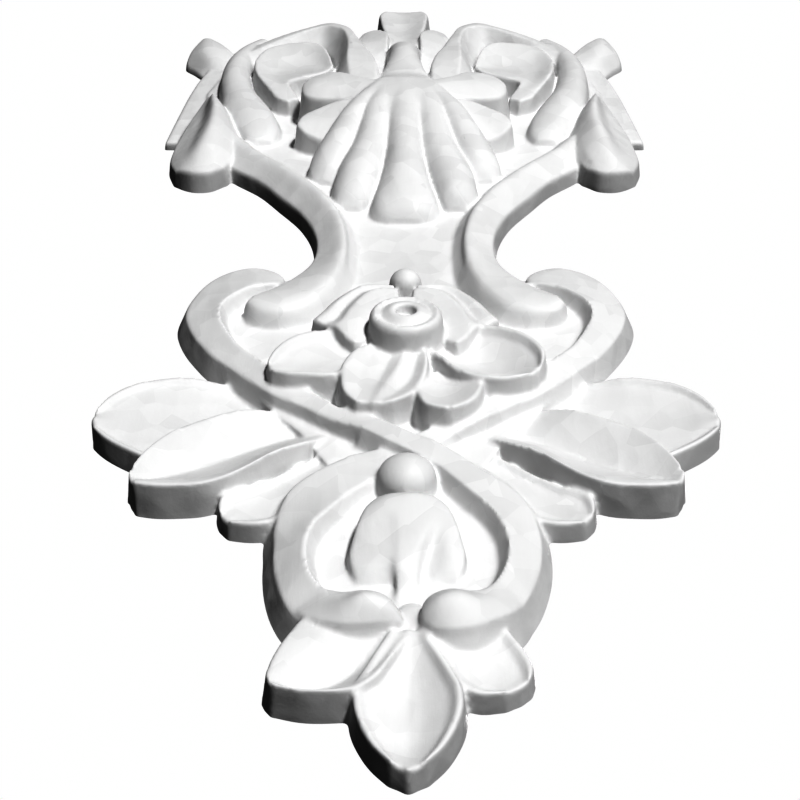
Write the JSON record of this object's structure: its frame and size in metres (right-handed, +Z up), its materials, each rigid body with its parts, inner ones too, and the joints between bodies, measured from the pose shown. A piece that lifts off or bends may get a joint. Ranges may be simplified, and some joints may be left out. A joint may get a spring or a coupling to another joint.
{
  "type": "carved onlay",
  "caption": "Carved onlay for a wall, door or drawer front: a shell crown, a waisted field between scrolled bands, side leaves, a flower and a bud, with a flat back.",
  "frame": {"origin": "on the flat back, on the centre line, halfway up the onlay", "axes": "+Z up the onlay towards its crown, -Y out of the carved face, +Y out of the flat back into what it is fixed to, +X to the right as the carved face is seen"},
  "size_m": [0.1223, 0.0149, 0.3013],
  "materials": {
    "primed_wood": "matt white primer over carved wood"
  },
  "bodies": {
    "root": {"carved_onlay": "primed_wood"}
  },
  "joints": []
}
